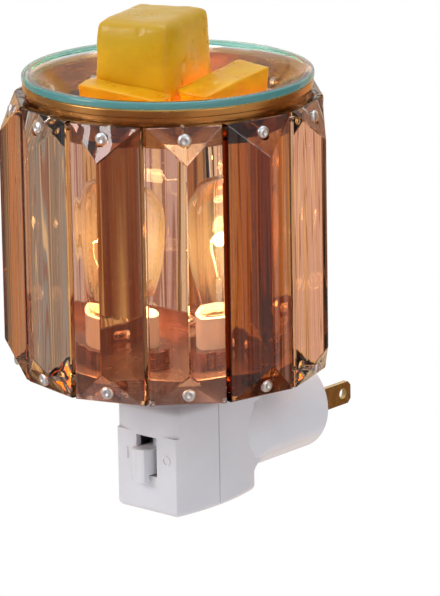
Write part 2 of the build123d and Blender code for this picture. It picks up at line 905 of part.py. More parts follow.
# Front shell: flat front with the switch slot and its marks, pivot lugs, contact boss and screw posts
with BuildPart() as front_shell:
    add(base_outside)
    add(base_inside, mode=Mode.SUBTRACT)
    add(holder_shelf.part)
    with BuildSketch(Plane.XY.offset(base_ceiling)):
        with Locations((0, -drum_reach)):
            Circle(neck_radius + holder_clearance)
    extrude(amount=base_wall, mode=Mode.SUBTRACT)
    with BuildSketch(Plane.XZ.offset(base_seam)):
        with Locations(*screw_places):
            Circle(post_radius)
    extrude(amount=screw_bite + base_wall)
    with BuildSketch(lever_plane.offset(tail_middle - bridge_half_height - boss_margin)):
        with Locations((strip_outer, bridge_start)):
            Rectangle(
                base_half_width - strip_outer,
                bridge_length,
                align=(Align.MIN, Align.MIN),
            )
    extrude(amount=2 * (bridge_half_height + boss_margin))
    for low in (hub_bottom - hub_gap - lug_height, hub_top + hub_gap):
        with BuildSketch(Plane.XY.offset(low)):
            with Locations((0, front_y + base_wall / 2)):
                Rectangle(
                    2 * lug_half_width,
                    lever_pivot + lug_reach - base_wall / 2,
                    align=(Align.CENTER, Align.MIN),
                )
            with Locations((0, pivot_y)):
                Circle(pivot_radius + pivot_fit, mode=Mode.SUBTRACT)
        extrude(amount=lug_height)
    with BuildSketch(Plane.XZ.offset(base_front - base_wall)):
        with Locations((0, (slot_bottom + slot_top) / 2)):
            Rectangle(2 * slot_half_width, slot_top - slot_bottom)
    extrude(amount=base_wall, mode=Mode.SUBTRACT)
    with BuildSketch(Plane.XZ.offset(base_front)):
        with Locations((-mark_spread, mark_height)):
            Rectangle(mark_stroke, mark_size)
        with Locations((mark_spread, mark_height)):
            Circle(mark_size / 2)
            Circle(mark_size / 2 - mark_stroke, mode=Mode.SUBTRACT)
    extrude(amount=mark_relief)
    with BuildSketch(Plane.XZ.offset(base_seam)):
        with Locations(*screw_places):
            Circle(screw_radius + screw_fit / 2)
    extrude(amount=screw_bite, mode=Mode.SUBTRACT)
    add(seam_groove.part, mode=Mode.SUBTRACT)
    split(bisect_by=seam_plane, keep=Keep.TOP)
keep_piece(front_shell.part, "front_shell")

# Flare where the arm meets the rear face
arm_grow_y = rear_y + arm_shoulder
with BuildPart() as arm_flare_ring:
    with BuildSketch(Plane.XY):
        with BuildLine():
            Polyline(
                (arm_radius, arm_grow_y),
                (arm_bore, arm_grow_y),
                (arm_bore, rear_y - base_wall),
                (arm_radius + arm_flare, rear_y - base_wall),
                (arm_radius + arm_flare, rear_y),
            )
            TangentArc((arm_radius, arm_grow_y), (arm_radius + arm_flare, rear_y), tangent=(0, -1))
        make_face()
    revolve(axis=Axis.Y)
    with Locations((0, rear_y, (base_bottom + base_top) / 2)):
        Box(
            2 * (base_half_width - base_corner),
            2 * base_rear,
            base_top - base_bottom - 2 * base_bottom_fillet,
            mode=Mode.INTERSECT,
        )

# Rear shell: back of the base with the arm to the wall and the plug's seat in its end
with BuildPart() as rear_shell:
    add(base_outside)
    add(arm_flare_ring.part)
    with BuildSketch(Plane.XY):
        with BuildLine():
            Polyline(
                (arm_root_radius, rear_y - arm_root),
                (0, rear_y - arm_root),
                (0, 0),
                (arm_radius, 0),
                (arm_radius, arm_grow_y),
            )
            TangentArc(
                (arm_radius, arm_grow_y),
                (arm_root_radius, rear_y - arm_root),
                tangent=(0, -1),
            )
        make_face()
    revolve(axis=Axis.Y)
    fillet(
        rear_shell.edges().filter_by(GeomType.CIRCLE).group_by(Axis.Y)[-1].sort_by(SortBy.RADIUS)[-1],
        arm_edge,
    )
    add(base_inside, mode=Mode.SUBTRACT)
    with BuildSketch(Plane.XZ.offset(arm_lip)):
        Circle(arm_bore)
    extrude(amount=base_rear + base_wall - arm_lip, mode=Mode.SUBTRACT)
    with BuildSketch(Plane.XZ):
        Circle(plug_lip_radius)
    extrude(amount=arm_lip, mode=Mode.SUBTRACT)
    add(holder_shelf.part)
    with BuildSketch(Plane.XY.offset(base_ceiling)):
        with Locations((0, -drum_reach)):
            Circle(neck_radius + holder_clearance)
    extrude(amount=base_wall, mode=Mode.SUBTRACT)
    with BuildSketch(Plane.XZ.offset(base_rear + base_wall / 2)):
        with Locations(*screw_places):
            Circle(post_radius)
    extrude(amount=base_seam - base_rear - base_wall / 2)
    with BuildSketch(Plane.XZ.offset(base_rear - arm_shoulder)):
        with Locations(*screw_places):
            Circle(screw_head_radius + screw_recess_clearance)
    extrude(amount=arm_shoulder + screw_sink, mode=Mode.SUBTRACT)
    with BuildSketch(Plane.XZ.offset(base_rear)):
        with Locations(*screw_places):
            Circle(screw_radius + screw_fit)
    extrude(amount=base_seam - base_rear, mode=Mode.SUBTRACT)
    add(seam_groove.part, mode=Mode.SUBTRACT)
    split(bisect_by=seam_plane, keep=Keep.BOTTOM)
keep_piece(rear_shell.part, "rear_shell")

# Shell screws: pan heads sunk in the rear face, threads in the front posts
with BuildPart() as shell_screws:
    with BuildSketch(Plane.XZ.offset(base_rear + screw_sink - screw_head_height)):
        with Locations(*screw_places):
            Circle(screw_head_radius)
    extrude(amount=screw_head_height)
    with BuildSketch(Plane.XZ.offset(base_rear + screw_sink)):
        with Locations(*screw_places):
            Circle(screw_radius)
    extrude(amount=screw_end - base_rear - screw_sink - screw_fit)
keep_piece(shell_screws.part, "shell_screws")

# Switch lever: crowned paddle, stem through the slot, hub on the pin and a tail inside
paddle_back = -lever_pivot - lever_gap
paddle_front = paddle_back - lever_depth
with BuildPart() as switch_lever:
    with BuildSketch(lever_plane.offset(lever_bottom)):
        with BuildLine():
            Polyline(
                (lever_half_width, paddle_front + lever_crown),
                (lever_half_width, paddle_back),
                (-lever_half_width, paddle_back),
                (-lever_half_width, paddle_front + lever_crown),
            )
            ThreePointArc(
                (-lever_half_width, paddle_front + lever_crown),
                (0, paddle_front),
                (lever_half_width, paddle_front + lever_crown),
            )
        make_face()
    extrude(amount=lever_top - lever_bottom)
    fillet(switch_lever.edges().group_by(Axis.Z)[0], lever_edge)
    fillet(switch_lever.edges().group_by(Axis.Z)[-1], lever_edge)
    with BuildSketch(lever_plane.offset(slot_bottom + stem_margin)):
        with Locations((0, paddle_back)):
            Rectangle(2 * lever_half_width, -paddle_back, align=(Align.CENTER, Align.MIN))
    extrude(amount=lever_top - stem_margin - slot_bottom - stem_margin)
    with BuildSketch(lever_plane.offset(hub_bottom)):
        Circle(hub_radius)
    extrude(amount=hub_top - hub_bottom)
    with BuildSketch(lever_plane.offset(tail_middle - tail_half_height)):
        Rectangle(2 * tail_half_width, tail_length, align=(Align.CENTER, Align.MIN))
    extrude(amount=2 * tail_half_height)
    with BuildSketch(lever_plane.offset(hub_bottom)):
        Circle(pivot_radius + pivot_fit)
    extrude(amount=hub_top - hub_bottom, mode=Mode.SUBTRACT)
keep_piece(switch_lever.part, "switch_lever")

# Lever pin
with BuildPart() as lever_pin:
    with BuildSketch(Plane.XY.offset(hub_bottom - hub_gap - lug_height)):
        with Locations((0, pivot_y)):
            Circle(pivot_radius)
    extrude(amount=hub_top - hub_bottom + 2 * (hub_gap + lug_height))
keep_piece(lever_pin.part, "lever_pin")

# Switch bridge: contact plate on the lever's tail
with BuildPart() as switch_bridge:
    with BuildSketch(lever_plane.offset(tail_middle - bridge_half_height)):
        with Locations((tail_half_width, bridge_start)):
            Rectangle(bridge_thickness, bridge_length, align=(Align.MIN, Align.MIN))
    extrude(amount=2 * bridge_half_height)
keep_piece(switch_bridge.part, "switch_bridge")

# Switch strips: fixed contacts on the boss, the live one below the load one
for name, way in (("live_switch_strip", -1), ("load_switch_strip", 1)):
    strip_middle = tail_middle + way * strip_spacing / 2
    with BuildPart() as switch_strip:
        with BuildSketch(lever_plane.offset(strip_middle - strip_height / 2)):
            with Locations((strip_inner, bridge_start)):
                Rectangle(strip_thickness, strip_end - bridge_start, align=(Align.MIN, Align.MIN))
        extrude(amount=strip_height)
    keep_piece(switch_strip.part, name)

# Plug disc: turning insert in the arm's end with slots for the blades
with BuildPart() as plug_disc:
    with BuildSketch(Plane.XY):
        with BuildLine():
            Polyline(
                (0, -plug_recess),
                (plug_radius, -plug_recess),
                (plug_radius, plug_shoulder),
                (plug_flange_radius, plug_shoulder),
                (plug_flange_radius, plug_back),
                (plug_hub_radius, plug_back),
                (plug_hub_radius, hub_back),
                (0, hub_back),
                close=True,
            )
        make_face()
    revolve(axis=Axis.Y)
    with BuildSketch(Plane.XZ):
        with Locations((-blade_middle, 0), (blade_middle, 0)):
            Rectangle(blade_thickness + 2 * blade_fit, blade_width + 2 * blade_fit)
    extrude(amount=-hub_back, mode=Mode.SUBTRACT)
keep_piece(plug_disc.part, "plug_disc")

# Plug blades: flat brass blades with a hole near the tip and a narrow tail behind the disc
for name, way in (("plug_blade_left", -1), ("plug_blade_right", 1)):
    with BuildPart() as plug_blade:
        with BuildSketch(Plane.XZ.offset(-hub_back)):
            with Locations((way * blade_middle, 0)):
                Rectangle(blade_thickness, blade_width)
        extrude(amount=hub_back - blade_length)
        chamfer(
            plug_blade.faces().sort_by(Axis.Y)[-1].edges().filter_by(Axis.X),
            length=blade_tip,
        )
        with BuildSketch(Plane.YZ.offset(way * blade_middle - blade_thickness / 2)):
            with Locations((blade_length - blade_hole_inset, 0)):
                Circle(blade_hole_radius)
        extrude(amount=blade_thickness, mode=Mode.SUBTRACT)
        with BuildSketch(Plane.XZ.offset(-hub_back)):
            with Locations((way * blade_middle, 0)):
                Rectangle(blade_thickness, 2 * blade_tail_half_width)
        extrude(amount=blade_tail)
    keep_piece(plug_blade.part, name)

# Contact arcs: brass tracks that the blade tails wipe as the plug turns
arc_sweep = plug_turn + 2 * arc_margin
peg_turn = plug_turn / 2
for name, start in (("live_contact_arc", arc_margin), ("neutral_contact_arc", 180 + arc_margin)):
    peg_place = (
        blade_middle * cos(radians(start - arc_margin - peg_turn)),
        blade_middle * sin(radians(start - arc_margin - peg_turn)),
    )
    with BuildPart() as contact_arc:
        with BuildSketch(Plane.XZ.offset(-arc_front)):
            with BuildLine():
                inner_track = CenterArc((0, 0), blade_middle - arc_half_width, start, -arc_sweep)
                outer_track = CenterArc((0, 0), blade_middle + arc_half_width, start, -arc_sweep)
                Line(inner_track @ 0, outer_track @ 0)
                Line(inner_track @ 1, outer_track @ 1)
            make_face()
        extrude(amount=arc_thickness)
        with BuildSketch(Plane.XZ.offset(-carrier_front)):
            with Locations(peg_place):
                Rectangle(arc_peg, arc_peg)
        extrude(amount=carrier_front - peg_back)
    keep_piece(contact_arc.part, name)

# Contact carrier: pressed into the arm behind the plug, its skirt keeping the plug in its seat
with BuildPart() as contact_carrier:
    with BuildSketch(Plane.XY):
        with BuildLine():
            Polyline(
                (0, carrier_front),
                (carrier_radius - carrier_skirt, carrier_front),
                (carrier_radius - carrier_skirt, plug_back - carrier_gap),
                (carrier_radius, plug_back - carrier_gap),
                (carrier_radius, carrier_back),
                (0, carrier_back),
                close=True,
            )
        make_face()
    revolve(axis=Axis.Y)
    with BuildSketch(Plane.XZ.offset(-carrier_front)):
        for start in (0, 180):
            with Locations(
                (
                    blade_middle * cos(radians(start - peg_turn)),
                    blade_middle * sin(radians(start - peg_turn)),
                )
            ):
                Rectangle(arc_peg + 2 * blade_fit, arc_peg + 2 * blade_fit)
    extrude(amount=carrier_thickness, mode=Mode.SUBTRACT)
keep_piece(contact_carrier.part, "contact_carrier")

# Inner wires, from contact to contact
strip_axis = (strip_inner + strip_outer) / 2
strip_live_height = tail_middle - strip_spacing / 2
strip_load_height = tail_middle + strip_spacing / 2
live_peg = (blade_middle * cos(radians(-peg_turn)), blade_middle * sin(radians(-peg_turn)))
neutral_peg = (-live_peg[0], -live_peg[1])
well_entry = wire_well_radius / 2


def behind_strip(distance, height):
    """Point on a switch strip's line, a distance behind its end."""
    return lever_plane.from_local_coords(Vector(strip_axis, strip_end + distance, height))


wire_routes = {
    "live_wire": [
        behind_strip(0, strip_live_height),
        behind_strip(5, strip_live_height),
        Vector(live_peg[0], (peg_back - base_rear) / 2 - 3, live_peg[1]),
        Vector(live_peg[0], peg_back, live_peg[1]),
    ],
    "switch_wire": [
        behind_strip(0, strip_load_height),
        behind_strip(4, strip_load_height),
        Vector(well_entry, -drum_reach + 2 * wire_well_radius, holder_bottom - 4 * wire_radius),
        Vector(0, -drum_reach, holder_bottom - wire_radius),
        Vector(0, -drum_reach, wire_terminal),
    ],
    "neutral_wire": [
        Vector(neutral_peg[0], peg_back, neutral_peg[1]),
        Vector(neutral_peg[0], (peg_back - base_rear) / 2 - 3, neutral_peg[1]),
        Vector(-shell_tab_radius, -drum_reach + 2 * wire_well_radius, holder_bottom - 5 * wire_radius),
        Vector(-shell_tab_radius, -drum_reach, holder_bottom - wire_radius),
        Vector(-shell_tab_radius, -drum_reach, wire_terminal),
    ],
}


def bend_radii(points):
    """Largest bends that the runs of a route leave room for."""
    radii = []
    for before, corner, after in zip(points, points[1:], points[2:]):
        shorter = min((corner - before).length, (after - corner).length)
        turn = (corner - before).get_angle(after - corner)
        radii.append(0.45 * shorter / tan(radians(turn / 2)))
    return radii


for name, route in wire_routes.items():
    with BuildPart() as wire:
        with BuildLine() as wire_path:
            FilletPolyline(*route, radius=bend_radii(route))
        with BuildSketch(Plane(origin=wire_path.line @ 0, z_dir=wire_path.line % 0)):
            Circle(wire_radius)
        sweep()
    keep_piece(wire.part, name)
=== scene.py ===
from math import cos, pi, radians, sin

import bmesh
import bpy
from mathutils import Matrix, Vector, noise


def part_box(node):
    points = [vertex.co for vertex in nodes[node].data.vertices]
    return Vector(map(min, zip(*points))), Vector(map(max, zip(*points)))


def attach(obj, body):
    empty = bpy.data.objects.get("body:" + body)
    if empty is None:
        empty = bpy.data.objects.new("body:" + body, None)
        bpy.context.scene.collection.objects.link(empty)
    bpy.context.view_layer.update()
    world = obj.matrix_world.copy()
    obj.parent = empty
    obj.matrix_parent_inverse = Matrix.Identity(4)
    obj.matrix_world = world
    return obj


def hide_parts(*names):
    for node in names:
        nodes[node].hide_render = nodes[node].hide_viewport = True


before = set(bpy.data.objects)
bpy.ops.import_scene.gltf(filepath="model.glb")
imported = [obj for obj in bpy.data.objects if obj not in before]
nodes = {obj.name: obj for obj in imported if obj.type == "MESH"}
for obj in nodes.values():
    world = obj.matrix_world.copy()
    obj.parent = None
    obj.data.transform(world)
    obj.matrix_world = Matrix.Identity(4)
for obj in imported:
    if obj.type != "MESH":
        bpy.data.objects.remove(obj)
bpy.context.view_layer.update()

MM = 0.001

# Camera, at the angle of the reference view
CAMERA_PLACE = Vector((839.7, -1004.05, 390.2)) * MM
CAMERA_AZIMUTH = radians(40.77)
CAMERA_ELEVATION = radians(15.39)
CAMERA_ROLL = radians(-0.94)
CAMERA_LENS = 295.5

# Drum and crystal bars, with the depth of tint per metre of glass
DRUM_REACH = 50.0 * MM
DRUM_AXIS = Vector((0, -DRUM_REACH, 0))
BAR_COUNT = 12
DRUM_TURN = radians(16.8)
GROUND_EDGE = 0.22 * MM
LONG_EDGE = 5 * MM
LIGHT_TINT = 60
AMBER_TINT = 150
DEEP_TINT = 520

# Pins
PIN_DIMPLE_RADIUS = 0.75 * MM
PIN_DIMPLE_DEPTH = 0.45 * MM
PIN_HEAD_REACH = 0.8 * DRUM_REACH

# Dish
DISH_RIM_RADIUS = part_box("glass_dish")[1].x
DISH_RIM_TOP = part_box("glass_dish")[1].z
DISH_RIM_HEIGHT = 2.1 * MM
DISH_LIFT = 0.08 * MM
RIM_EDGE = DISH_RIM_RADIUS - 0.75 * MM

# Wax melts: sizes in mm, turn and tilt in degrees, and steps of rounding
LEFT_MELT = dict(
    length=25.0, width=9.5, height=9.5, foot_taper=2.0, top_taper=0, turn=16.0, tilt=-6.5, rounding=9
)
RIGHT_MELT = dict(
    length=25.0, width=12.5, height=11.0, foot_taper=2.0, top_taper=0, turn=86.0, tilt=10.0, rounding=7
)
LARGE_MELT = dict(
    length=29.5, width=22.5, height=28.5, foot_taper=0, top_taper=1.0, turn=106.0, tilt=0, rounding=16
)
WAX_CUTS = 18
WAX_MELT = 0.45 * MM
WAX_WIDE_WAVE = 11 * MM
WAX_FINE_WAVE = 3.5 * MM
WAX_FIT = 0.997
WAX_FOOT = DISH_RIM_TOP - 7 * MM
WAX_CROWN = DISH_RIM_TOP + 20 * MM

# Studio panels round the object: turn in degrees where each begins, and its colour
PANEL_EDGE = 2
PANEL_SLATS = 640
PANEL_SHADE = (0.34, 0.11, 0.03)
PANEL_SHINE = (1.2, 0.86, 0.42)
PANELS = (
    (-90, (0.34, 0.34, 0.34)),
    (-40, (0.90, 0.90, 0.96)),
    (-14, (0.26, 0.22, 0.25)),
    (56, (0.66, 0.62, 0.58)),
    (118, (0.16, 0.09, 0.06)),
    (166, (0.96, 0.64, 0.56)),
    (180, (1.0, 0.60, 0.18)),
    (192, (0.98, 0.80, 0.56)),
    (204, (0.80, 0.62, 0.66)),
    (217, (1.0, 0.97, 0.95)),
    (228, (0.96, 0.66, 0.48)),
    (240, (0.98, 0.68, 0.34)),
    (252, (0.14, 0.11, 0.09)),
    (257, (1.0, 0.74, 0.34)),
    (261, (0.22, 0.06, 0.025)),
    (265, (0.95, 0.66, 0.30)),
)

# Studio floor and lamps
FLOOR_HALF = 8
FLOOR_HEIGHT = -0.35
LAMP_AIM = DRUM_AXIS + Vector((0, 0, 50 * MM))
KEY_PLACE = (-0.75, -1.35, 0.9)
FILL_PLACE = (1.5, -0.35, 0.6)
TOP_PLACE = (-0.2, 0.3, 1.4)

# Bulb
FILAMENT_LOW, FILAMENT_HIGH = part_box("bulb_filament")
FILAMENT_CENTRE = (FILAMENT_LOW + FILAMENT_HIGH) / 2
COIL_RADIUS = 0.5 * MM
COIL_WIRE = 0.16 * MM
COIL_TURNS = 13
COIL_STEPS = 8 * COIL_TURNS
# Painted glow of the bulb glass: distance from the filament where it starts, and where it is full
PAINTED_GLOW_FAR = 17 * MM
PAINTED_GLOW_NEAR = 9 * MM
FILAMENT_POWER = 0.32


def make_camera():
    """Camera at the reference angle, with a slight roll."""
    level_right = Vector((cos(CAMERA_AZIMUTH), sin(CAMERA_AZIMUTH), 0))
    forward = Vector(
        (
            -sin(CAMERA_AZIMUTH) * cos(CAMERA_ELEVATION),
            cos(CAMERA_AZIMUTH) * cos(CAMERA_ELEVATION),
            -sin(CAMERA_ELEVATION),
        )
    )
    level_up = level_right.cross(forward)
    right = level_right * cos(CAMERA_ROLL) + level_up * sin(CAMERA_ROLL)
    up = right.cross(forward)
    data = bpy.data.cameras.new("camera")
    data.lens = CAMERA_LENS
    data.clip_end = 50
    camera = bpy.data.objects.new("camera", data)
    turn = Matrix((right, up, -forward)).transposed().to_4x4()
    camera.matrix_world = Matrix.Translation(CAMERA_PLACE) @ turn
    bpy.context.scene.collection.objects.link(camera)
    bpy.context.scene.camera = camera


# Shader helpers
def add_node(tree, kind, **inputs):
    """Shader node with named input values."""
    made = tree.nodes.new(kind)
    for name, value in inputs.items():
        made.inputs[name.replace("_", " ")].default_value = value
    return made


def add_math(tree, operation, first, second):
    """Math node over two values or sockets."""
    made = tree.nodes.new("ShaderNodeMath")
    made.operation = operation
    for socket, value in zip(made.inputs, (first, second)):
        if isinstance(value, (int, float)):
            socket.default_value = value
        else:
            tree.links.new(value, socket)
    return made.outputs["Value"]


def value_range(tree, value, low, high, to_low=0, to_high=1):
    """Value moved from one range to another, held at both ends."""
    spread = add_node(tree, "ShaderNodeMapRange", From_Min=low, From_Max=high, To_Min=to_low, To_Max=to_high)
    tree.links.new(value, spread.inputs["Value"])
    return spread.outputs["Result"]


def blend_colours(tree, amount, first, second):
    """Mix of two colours, each a socket or a plain colour."""
    mix = tree.nodes.new("ShaderNodeMix")
    mix.data_type = "RGBA"
    tree.links.new(amount, mix.inputs["Factor"])
    for socket, colour in ((mix.inputs[6], first), (mix.inputs[7], second)):
        if isinstance(colour, tuple):
            socket.default_value = (*colour, 1)
        else:
            tree.links.new(colour, socket)
    return mix.outputs[2]


def colour_ramp(tree, value, *stops):
    """Colour ramp over a value, from (position, colour) stops."""
    ramp = tree.nodes.new("ShaderNodeValToRGB")
    while len(ramp.color_ramp.elements) < len(stops):
        ramp.color_ramp.elements.new(0.5)
    for element, (position, colour) in zip(ramp.color_ramp.elements, stops):
        element.position = position
        element.color = (*colour, 1)
    tree.links.new(value, ramp.inputs["Fac"])
    return ramp.outputs["Color"]


def object_place(tree, stretch=(1, 1, 1), centre=(0, 0, 0)):
    """Object coordinates, centred and stretched for a pattern."""
    coordinates = tree.nodes.new("ShaderNodeTexCoord")
    mapping = tree.nodes.new("ShaderNodeMapping")
    mapping.inputs["Scale"].default_value = stretch
    mapping.inputs["Location"].default_value = [-c * s for c, s in zip(centre, stretch)]
    tree.links.new(coordinates.outputs["Object"], mapping.inputs["Vector"])
    return mapping.outputs["Vector"]


def new_material(name):
    """Material with its node tree, Principled shader and output."""
    made = bpy.data.materials.new(name)
    made.use_nodes = True
    tree = made.node_tree
    return made, tree, tree.nodes["Principled BSDF"], tree.nodes["Material Output"]


def new_group(name, inputs, outputs):
    """Shader node group with named sockets, given as (name, kind) pairs."""
    group = bpy.data.node_groups.new(name, "ShaderNodeTree")
    for way, sockets in (("INPUT", inputs), ("OUTPUT", outputs)):
        for label, kind in sockets:
            group.interface.new_socket(label, in_out=way, socket_type=f"NodeSocket{kind}")
    return group, group.nodes.new("NodeGroupInput"), group.nodes.new("NodeGroupOutput")


def place_group(tree, group, **inputs):
    """Node group in a material, with its own values."""
    made = tree.nodes.new("ShaderNodeGroup")
    made.node_tree = group
    for name, value in inputs.items():
        socket = made.inputs[name.replace("_", " ")]
        if isinstance(value, bpy.types.NodeSocket):
            tree.links.new(value, socket)
        else:
            socket.default_value = value
    return made


def add_relief(tree, shader, height, strength, distance):
    """Bump from a height, on the shader's normal."""
    bump = add_node(tree, "ShaderNodeBump", Strength=strength, Distance=distance)
    tree.links.new(height, bump.inputs["Height"])
    tree.links.new(bump.outputs["Normal"], shader.inputs["Normal"])


def mottle_group():
    """Two tones and two roughnesses spread by a soft noise."""
    group, given, result = new_group(
        "surface_mottle",
        (
            ("Place", "Vector"),
            ("Dark", "Color"),
            ("Light", "Color"),
            ("Smooth", "Float"),
            ("Rough", "Float"),
        ),
        (("Pattern", "Float"), ("Color", "Color"), ("Roughness", "Float")),
    )
    cloud = add_node(group, "ShaderNodeTexNoise", Scale=1, Detail=4, Roughness=0.6)
    group.links.new(given.outputs["Place"], cloud.inputs["Vector"])
    pattern = value_range(group, cloud.outputs["Fac"], 0.3, 0.7)
    group.links.new(pattern, result.inputs["Pattern"])
    tone = blend_colours(group, pattern, given.outputs["Dark"], given.outputs["Light"])
    group.links.new(tone, result.inputs["Color"])
    gloss = add_node(group, "ShaderNodeMapRange")
    group.links.new(pattern, gloss.inputs["Value"])
    group.links.new(given.outputs["Smooth"], gloss.inputs["To Min"])
    group.links.new(given.outputs["Rough"], gloss.inputs["To Max"])
    group.links.new(gloss.outputs["Result"], result.inputs["Roughness"])
    return group


def edge_group():
    """Mask of exposed edges, from how far a rounded normal leaves the flat one."""
    group, given, result = new_group("edge_mask", (("Reach", "Float"),), (("Mask", "Float"),))
    rounded = group.nodes.new("ShaderNodeBevel")
    rounded.samples = 4
    group.links.new(given.outputs["Reach"], rounded.inputs["Radius"])
    flat = group.nodes.new("ShaderNodeNewGeometry")
    compare = group.nodes.new("ShaderNodeVectorMath")
    compare.operation = "DOT_PRODUCT"
    group.links.new(rounded.outputs["Normal"], compare.inputs[0])
    group.links.new(flat.outputs["Normal"], compare.inputs[1])
    group.links.new(value_range(group, compare.outputs["Value"], 0.97, 0.85), result.inputs["Mask"])
    return group


def panel_group():
    """Colours of the studio panels and their slats by the way out from the object."""
    group, given, result = new_group("studio_panels", (("Way", "Vector"),), (("Color", "Color"),))
    round_axis = group.nodes.new("ShaderNodeTexGradient")
    round_axis.gradient_type = "RADIAL"
    group.links.new(given.outputs["Way"], round_axis.inputs["Vector"])
    stops = []
    for number, (start, colour) in enumerate(PANELS):
        before = PANELS[number - 1][1]
        stops.append((max(start + 90 - PANEL_EDGE / 2, 0) / 360, before))
        stops.append(((start + 90 + PANEL_EDGE / 2) / 360, colour))
    panels = colour_ramp(group, round_axis.outputs["Fac"], *stops)
    slats = group.nodes.new("ShaderNodeTexNoise")
    slats.noise_dimensions = "1D"
    slats.inputs["Scale"].default_value = PANEL_SLATS
    slats.inputs["Detail"].default_value = 1
    group.links.new(round_axis.outputs["Fac"], slats.inputs["W"])
    gaps = value_range(group, slats.outputs["Fac"], 0.48, 0.34, 0, 0.75)
    dimmed = blend_colours(group, gaps, panels, PANEL_SHADE)
    shine = value_range(group, slats.outputs["Fac"], 0.6, 0.7, 0, 0.6)
    group.links.new(blend_colours(group, shine, dimmed, PANEL_SHINE), result.inputs["Color"])
    return group


def glass_rays(tree, path):
    """Mask of the rays that mirrors and glass send out."""
    return add_math(tree, "MAXIMUM", path.outputs["Is Glossy Ray"], path.outputs["Is Transmission Ray"])


MOTTLE = mottle_group()
EDGE_MASK = edge_group()
PANEL_RING = panel_group()


# Finishes
def let_lamps_through(tree, shader, output, tint):
    """Glass that lets lamp light pass: shadow rays see a tinted clear sheet."""
    clear = add_node(tree, "ShaderNodeBsdfTransparent", Color=(*tint, 1))
    path = tree.nodes.new("ShaderNodeLightPath")
    mix = tree.nodes.new("ShaderNodeMixShader")
    tree.links.new(path.outputs["Is Shadow Ray"], mix.inputs["Fac"])
    tree.links.new(shader.outputs["BSDF"], mix.inputs[1])
    tree.links.new(clear.outputs["BSDF"], mix.inputs[2])
    tree.links.new(mix.outputs["Shader"], output.inputs["Surface"])


def crystal_glass(name, depth):
    """Amber crystal, deeper where it is thicker, with faint streaks and waves along the bar."""
    made, tree, shader, output = new_material(name)
    shader.inputs["Roughness"].default_value = 0.0
    shader.inputs["IOR"].default_value = 1.6
    shader.inputs["Transmission Weight"].default_value = 1
    streaks = place_group(
        tree,
        MOTTLE,
        Place=object_place(tree, (220, 220, 5)),
        Dark=(0.88, 0.78, 0.74, 1),
        Light=(0.99, 0.94, 0.92, 1),
    )
    tree.links.new(streaks.outputs["Color"], shader.inputs["Base Color"])
    waves = add_node(tree, "ShaderNodeTexNoise", Scale=1, Detail=0)
    tree.links.new(object_place(tree, (250, 250, 4)), waves.inputs["Vector"])
    add_relief(tree, shader, waves.outputs["Fac"], 0.5, 0.3 * MM)
    inside = add_node(tree, "ShaderNodeVolumeAbsorption", Color=(0.78, 0.52, 0.20, 1), Density=depth)
    tree.links.new(inside.outputs["Volume"], output.inputs["Volume"])
    let_lamps_through(tree, shader, output, (0.95, 0.85, 0.75))
    return made


def dish_glass(name, clear, dark, light):
    """Glass of the dish: clear, or the blue-green of its thick rim edge."""
    made, tree, shader, output = new_material(name)
    shader.inputs["Roughness"].default_value = 0.0
    shader.inputs["IOR"].default_value = 1.5
    shader.inputs["Transmission Weight"].default_value = clear
    waves = place_group(
        tree, MOTTLE, Place=object_place(tree, (60, 60, 200)), Dark=(*dark, 1), Light=(*light, 1)
    )
    tree.links.new(waves.outputs["Color"], shader.inputs["Base Color"])
    let_lamps_through(tree, shader, output, (0.95, 0.97, 0.96))
    return made


def bulb_clear_glass():
    """Thin clear lamp glass with faint waves, and a painted glow: the glass itself gives off warm light
    round the filament, standing in for the filament's halo.
    """
    made, tree, shader, output = new_material("bulb_clear_glass")
    shader.inputs["Roughness"].default_value = 0.0
    shader.inputs["IOR"].default_value = 1.45
    shader.inputs["Transmission Weight"].default_value = 1
    waves = place_group(
        tree,
        MOTTLE,
        Place=object_place(tree, (140, 140, 60)),
        Dark=(0.97, 0.94, 0.9, 1),
        Light=(1, 0.98, 0.95, 1),
    )
    tree.links.new(waves.outputs["Color"], shader.inputs["Base Color"])
    away = tree.nodes.new("ShaderNodeVectorMath")
    away.operation = "LENGTH"
    tree.links.new(object_place(tree, (1, 1, 1), FILAMENT_CENTRE), away.inputs[0])
    # Painted glow: the glass emits warm light near the filament, though it is no lamp
    glow = value_range(tree, away.outputs["Value"], PAINTED_GLOW_FAR, PAINTED_GLOW_NEAR)
    tone = blend_colours(tree, glow, (0, 0, 0), (1, 0.62, 0.22))
    tree.links.new(tone, shader.inputs["Emission Color"])
    shader.inputs["Emission Strength"].default_value = 0.2
    let_lamps_through(tree, shader, output, (1, 0.97, 0.92))
    return made


